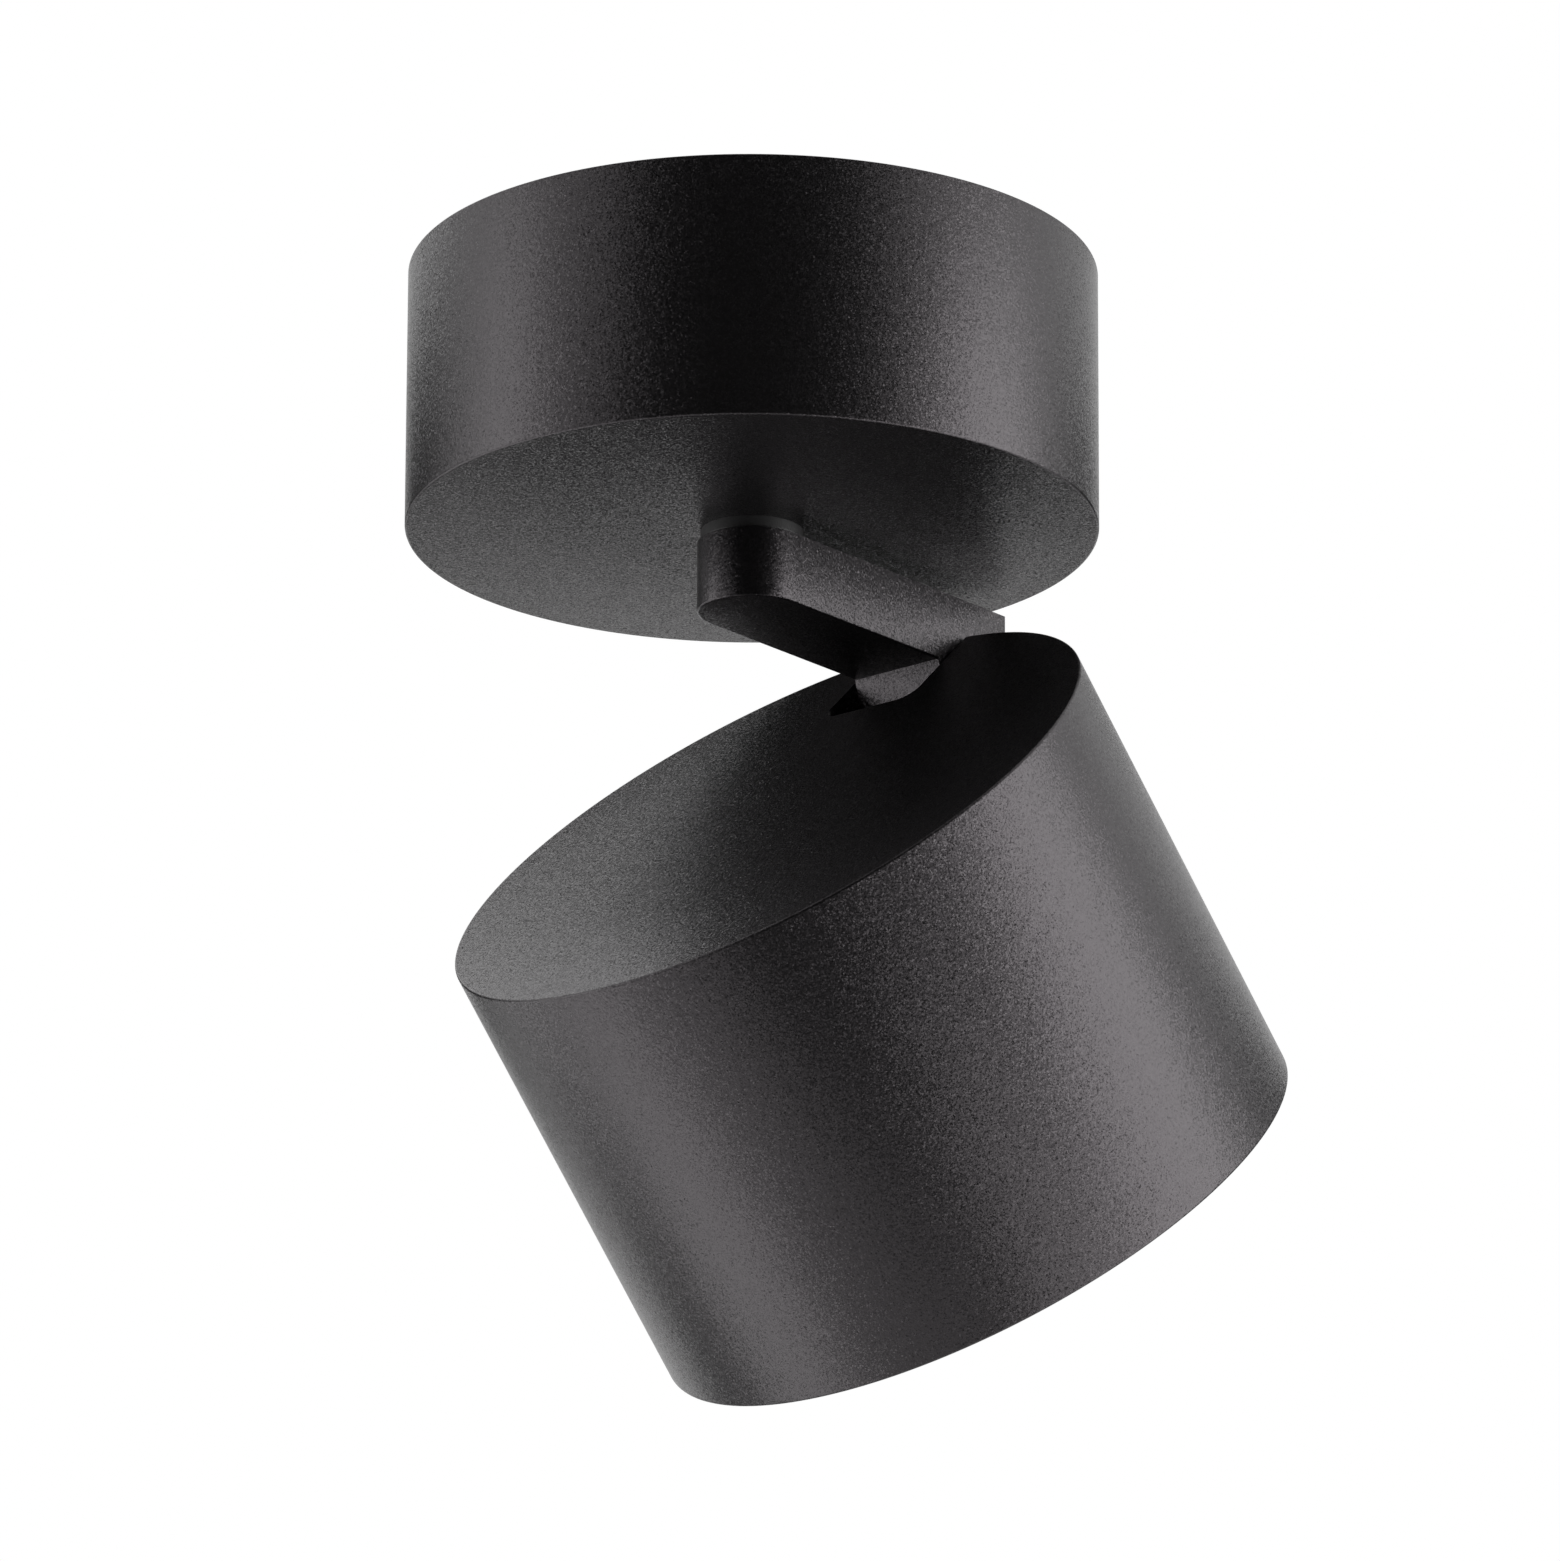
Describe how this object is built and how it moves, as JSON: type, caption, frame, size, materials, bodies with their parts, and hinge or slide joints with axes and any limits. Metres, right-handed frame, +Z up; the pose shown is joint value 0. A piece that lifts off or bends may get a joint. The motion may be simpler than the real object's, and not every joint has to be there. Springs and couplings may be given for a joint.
{
  "type": "ceiling spotlight",
  "caption": "Black surface-mounted ceiling spotlight: a round canopy with the driver inside, a swivel arm under it, and a round lamp head that tilts on a hinge in a notch at its top rim.",
  "frame": {"origin": "centre of the ceiling plane: the middle of the bracket's screw slots, on the top face of the bracket and the canopy's rim", "axes": "+Z up towards the ceiling, +X along the swivel arm at rest, Y along the head's hinge bolt"},
  "size_m": [0.1369, 0.1, 0.1647],
  "materials": {
    "black_coat": "satin",
    "black_nylon": "satin",
    "natural_nylon": "satin",
    "zinc_steel": "satin",
    "dark_steel": "satin",
    "brass": "satin",
    "raw_aluminium": "satin",
    "mirror_aluminium": "polished",
    "black_rubber": "matte",
    "white_plastic": "satin",
    "circuit_board": "satin",
    "ferrite": "matte",
    "capacitor_sleeve": "gloss",
    "thermal_pad": "matte",
    "light_board": "satin",
    "phosphor": "satin",
    "clear_glass": "gloss"
  },
  "bodies": {
    "canopy": {"canopy_cup": "black_coat", "mounting_bracket": "zinc_steel", "bracket_tabs": "zinc_steel", "canopy_lock_screw": "dark_steel", "cable_grommet": "black_rubber", "swivel_bush": "black_nylon", "thrust_washer": "natural_nylon", "driver_standoffs": "brass", "earth_standoff": "brass", "stop_pin": "zinc_steel", "driver_case": "white_plastic", "driver_cover": "white_plastic", "driver_board": "circuit_board", "driver_transformer": "ferrite", "driver_capacitors": "capacitor_sleeve", "driver_screws": "zinc_steel", "terminal_block": "white_plastic", "terminal_clamps": "brass", "terminal_screws": "zinc_steel", "terminal_fixing_screw": "zinc_steel", "earth_screw": "brass", "earth_washer": "brass"},
    "arm": {"swivel_arm": "black_coat", "arm_cover": "black_nylon", "arm_cover_screw": "dark_steel", "swivel_stud": "zinc_steel", "stop_washer": "zinc_steel", "spring_washer": "zinc_steel", "swivel_nuts": "zinc_steel", "hinge_bushes": "black_nylon"},
    "head": {"head_housing": "black_coat", "hinge_bracket": "dark_steel", "bracket_screws": "zinc_steel", "lead_grommet": "black_rubber", "hinge_bolt": "zinc_steel", "hinge_spring_washer": "zinc_steel", "hinge_nut": "zinc_steel", "heat_sink": "raw_aluminium", "heat_sink_screws": "zinc_steel", "thermal_pad": "thermal_pad", "led_board": "light_board", "led_emitter": "phosphor", "led_holder": "white_plastic", "holder_screws": "zinc_steel", "reflector": "mirror_aluminium", "glass_gasket": "black_rubber", "front_glass": "clear_glass", "front_ring": "black_coat"}
  },
  "joints": [
    {"name": "arm_swivel", "type": "hinge", "parent": "canopy", "child": "arm", "pos_m": [0, 0, -0.039], "axis": [0, 0, 1], "range_deg": [-165, 165]},
    {"name": "head_tilt", "type": "hinge", "parent": "arm", "child": "head", "pos_m": [0.0372, 0, -0.0622], "axis": [0, -1, 0], "range_deg": [-44.1, 45.9]}
  ]
}
